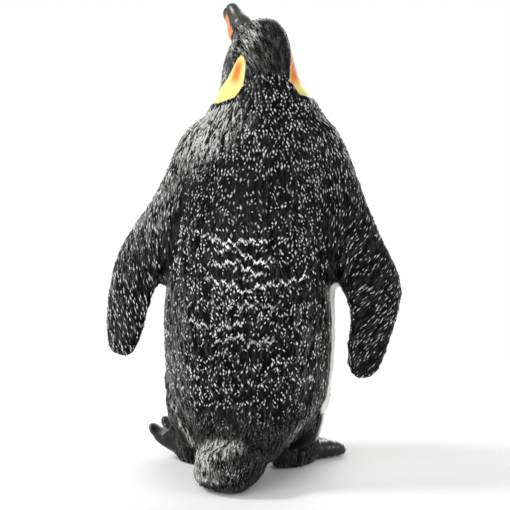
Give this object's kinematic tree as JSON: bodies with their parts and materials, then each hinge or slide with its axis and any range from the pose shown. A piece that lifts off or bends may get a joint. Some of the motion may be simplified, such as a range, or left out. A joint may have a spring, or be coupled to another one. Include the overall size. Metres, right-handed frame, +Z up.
{
  "type": "penguin figurine",
  "caption": "Standing king penguin figurine of moulded plastic, head turned and bill raised, flippers held away from the body, resting on its feet and tail.",
  "frame": {"origin": "centre of the bounding box, on the surface that the figure stands on", "axes": "+Z up, -Y the way the belly faces, +X to the bird's own left"},
  "size_m": [0.0586, 0.0392, 0.0908],
  "materials": {
    "black_plumage": "satin black painted plastic with a fine feather relief and white dry-brushed tips",
    "white_plumage": "satin white painted plastic with a fine feather relief, yellow at the upper chest",
    "bill": "semi-gloss black with an orange stripe along each side of the lower half",
    "eye": "gloss black",
    "foot": "semi-gloss black, scaled, with grey claws"
  },
  "bodies": {
    "root": {"back_shell": "black_plumage", "belly_shell": "white_plumage", "head": "black_plumage", "bill": "bill", "left_eye": "eye", "right_eye": "eye", "left_flipper": "black_plumage", "right_flipper": "black_plumage", "left_leg": "black_plumage", "right_leg": "black_plumage", "left_foot": "foot", "right_foot": "foot", "tail": "black_plumage"}
  },
  "joints": []
}
